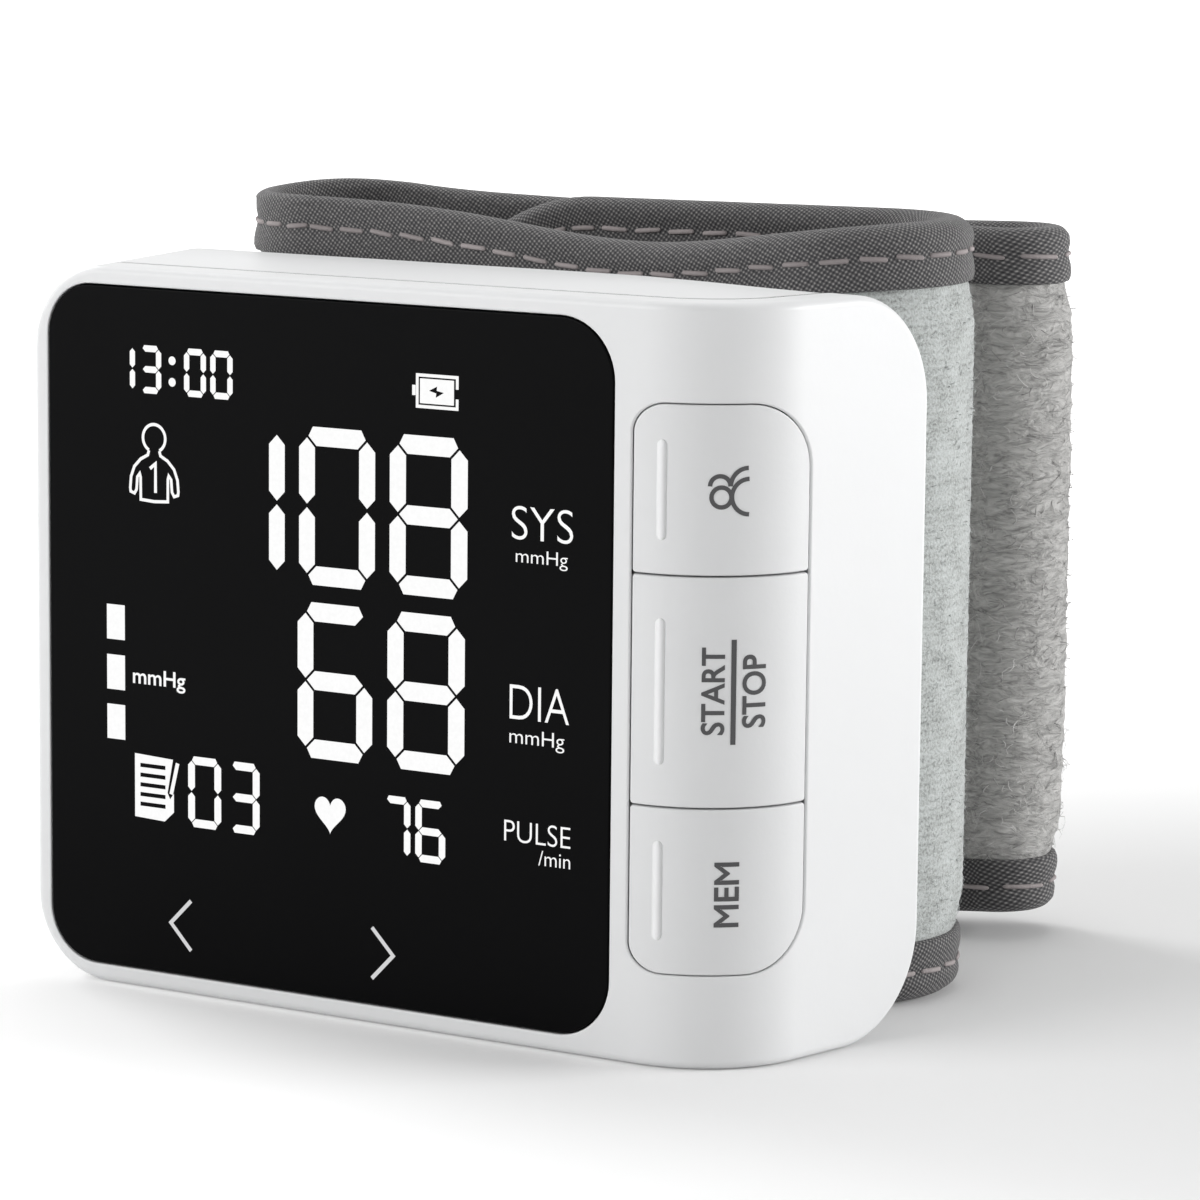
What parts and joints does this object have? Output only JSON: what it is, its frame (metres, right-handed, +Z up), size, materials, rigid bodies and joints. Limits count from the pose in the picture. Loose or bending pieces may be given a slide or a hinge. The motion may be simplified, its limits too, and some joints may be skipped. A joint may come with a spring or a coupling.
{
  "type": "wrist blood pressure monitor",
  "caption": "Wrist blood pressure monitor: white casing with a black display and keys on its rounded end, and a looped fabric cuff with a fold-back closure strap behind it",
  "frame": {"origin": "on the casing's flat base, midway between the cuff's bends, 12.5 mm behind the display face", "axes": "+X to the right as the display is read, +Y from the display back to the cuff, +Z up"},
  "size_m": [0.088, 0.0777, 0.0754],
  "materials": {
    "casing": "satin white moulded plastic",
    "key": "satin white moulded plastic",
    "lens": "black gloss window",
    "panel": "dark display panel",
    "frame": "white moulded plastic",
    "board": "green circuit board",
    "chip": "black moulded package",
    "steel": "plain steel",
    "brass": "plain brass",
    "pump_head": "black moulded plastic",
    "hose": "milky soft tube",
    "battery": "metal pouch",
    "foam": "adhesive foam",
    "knit": "light grey loop knit",
    "lining": "grey smooth lining",
    "binding": "dark grey woven tape",
    "pile": "grey fuzzy pile",
    "bladder": "milky soft sheet",
    "stiffener": "clear bent plastic sheet",
    "hook": "dark grey hook tape"
  },
  "bodies": {
    "monitor": {"front_cover": "casing", "rear_shell": "casing", "display_lens": "lens", "display_panel": "panel", "display_frame": "frame", "main_board": "board", "controller_chip": "chip", "buzzer": "chip", "charging_socket": "steel", "key_board": "board", "memory_switch": "chip", "start_stop_switch": "chip", "user_switch": "chip", "key_ribbon": "brass", "battery_cell": "battery", "battery_pad": "foam", "battery_lead": "hook", "pump_motor": "steel", "pump_head": "pump_head", "valve_body": "steel", "pressure_sensor": "frame", "air_manifold": "pump_head", "pump_hose": "hose", "valve_hose": "hose", "sensor_hose": "hose", "cuff_hose": "hose", "cuff_port": "frame", "case_screw_1": "steel", "case_screw_2": "steel", "case_screw_3": "steel", "case_screw_4": "steel", "cuff_rivet_1": "steel", "cuff_rivet_2": "steel", "cuff_cover": "knit", "cuff_lining": "lining", "cuff_bladder": "bladder", "cuff_stiffener": "stiffener", "cuff_top_binding": "binding", "cuff_bottom_binding": "binding"},
    "user_key": {"user_key": "key"},
    "user_plunger": {"user_plunger": "brass"},
    "start_stop_key": {"start_stop_key": "key"},
    "start_stop_plunger": {"start_stop_plunger": "brass"},
    "memory_key": {"memory_key": "key"},
    "memory_plunger": {"memory_plunger": "brass"},
    "pump_crank": {"pump_crank": "brass"},
    "valve_plunger": {"valve_plunger": "brass"},
    "strap": {"closure_strap": "pile", "strap_top_binding": "binding", "strap_bottom_binding": "binding", "hook_patch": "hook"}
  },
  "joints": [
    {"name": "user_press", "type": "slide", "parent": "monitor", "child": "user_key", "axis": [-0.6293, 0.7771, 0], "range_m": [0, 0.0004], "stiffness_N_per_m": 800},
    {"name": "user_plunger_slide", "type": "slide", "parent": "monitor", "child": "user_plunger", "axis": [-0.6293, 0.7771, 0], "range_m": [0, 0.0004]},
    {"name": "start_stop_press", "type": "slide", "parent": "monitor", "child": "start_stop_key", "axis": [-0.6293, 0.7771, 0], "range_m": [0, 0.0004], "stiffness_N_per_m": 800},
    {"name": "start_stop_plunger_slide", "type": "slide", "parent": "monitor", "child": "start_stop_plunger", "axis": [-0.6293, 0.7771, 0], "range_m": [0, 0.0004]},
    {"name": "memory_press", "type": "slide", "parent": "monitor", "child": "memory_key", "axis": [-0.6293, 0.7771, 0], "range_m": [0, 0.0004], "stiffness_N_per_m": 800},
    {"name": "memory_plunger_slide", "type": "slide", "parent": "monitor", "child": "memory_plunger", "axis": [-0.6293, 0.7771, 0], "range_m": [0, 0.0004]},
    {"name": "pump_spin", "type": "hinge", "parent": "monitor", "child": "pump_crank", "pos_m": [0.006, 0.0063, 0.045], "axis": [0, 0, 1], "continuous": true},
    {"name": "valve_slide", "type": "slide", "parent": "monitor", "child": "valve_plunger", "axis": [0, 0, -1], "range_m": [0, 0.001], "stiffness_N_per_m": 200},
    {"name": "strap_swing", "type": "hinge", "parent": "monitor", "child": "strap", "pos_m": [-0.02955, 0.0398, 0.0377], "axis": [0, 0, 1], "range_deg": [-8, 100]}
  ],
  "couplings": [
    {"joint": "user_plunger_slide", "follows": "user_press", "ratio": 1},
    {"joint": "start_stop_plunger_slide", "follows": "start_stop_press", "ratio": 1},
    {"joint": "memory_plunger_slide", "follows": "memory_press", "ratio": 1}
  ]
}
